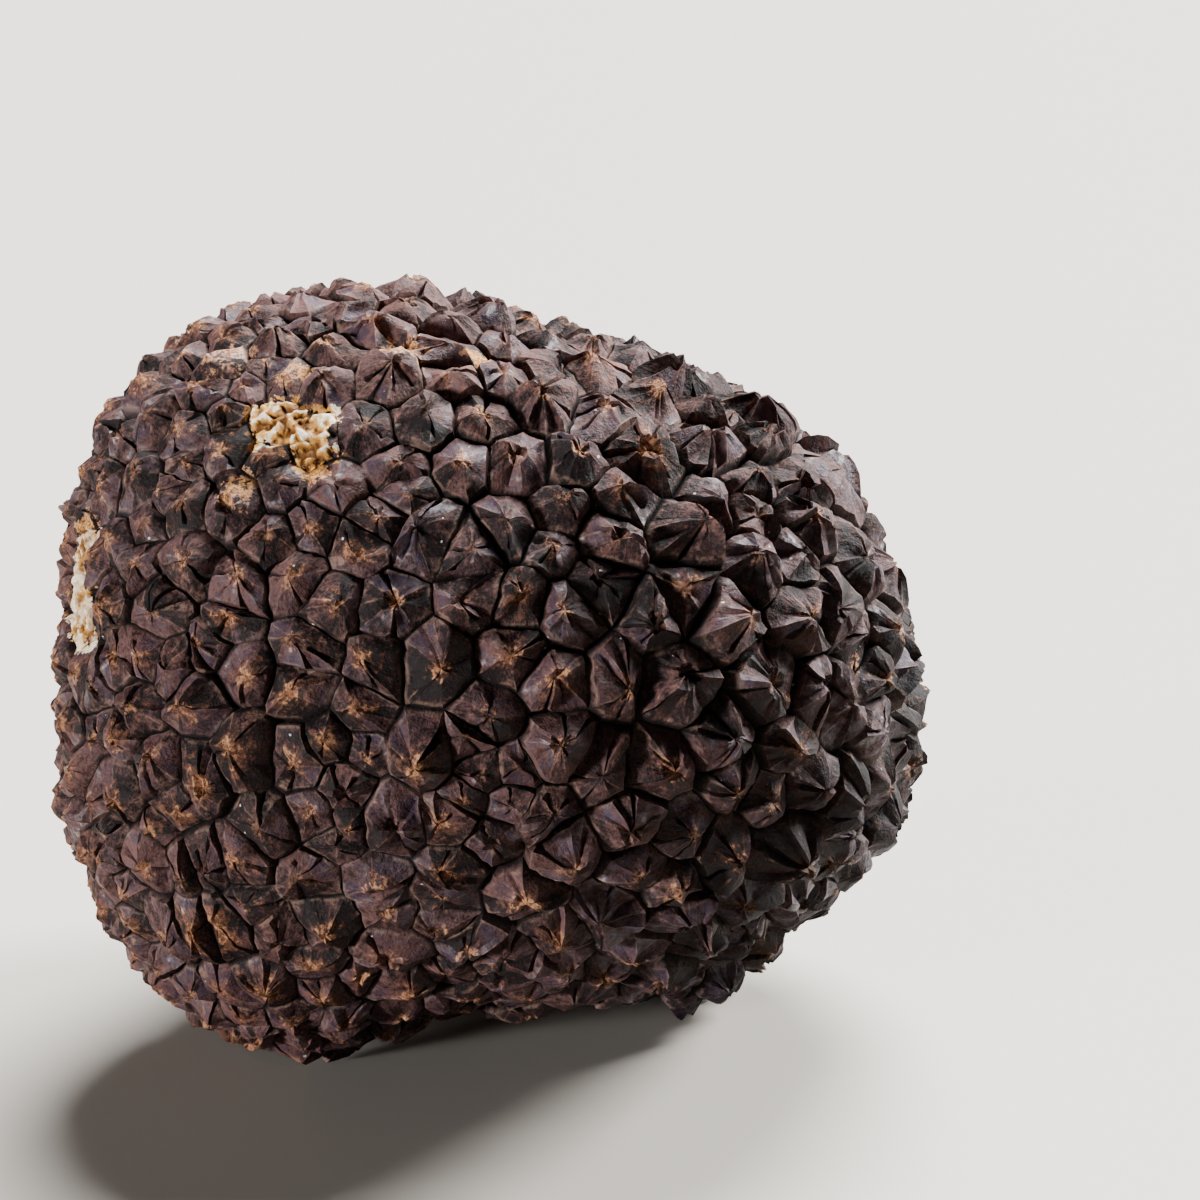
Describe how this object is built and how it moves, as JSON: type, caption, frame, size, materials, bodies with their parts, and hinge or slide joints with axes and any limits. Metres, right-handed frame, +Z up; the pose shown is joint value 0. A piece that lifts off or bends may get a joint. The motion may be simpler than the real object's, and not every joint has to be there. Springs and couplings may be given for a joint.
{
  "type": "black truffle",
  "caption": "Whole black truffle: a knobbly rounded body with a dark skin of low many-sided warts, standing on its lowest swellings.",
  "frame": {"origin": "on the ground under the middle of the body's bounding box", "axes": "+Z up, +X along the body's longest extent, towards its narrower end; -Y towards the viewer of the picture"},
  "size_m": [0.0682, 0.0642, 0.0592],
  "materials": {
    "skin": "dry, rough, matt brown-black warts with black grooves and rusty-tan middles"
  },
  "bodies": {
    "root": {"truffle": "skin"}
  },
  "joints": []
}
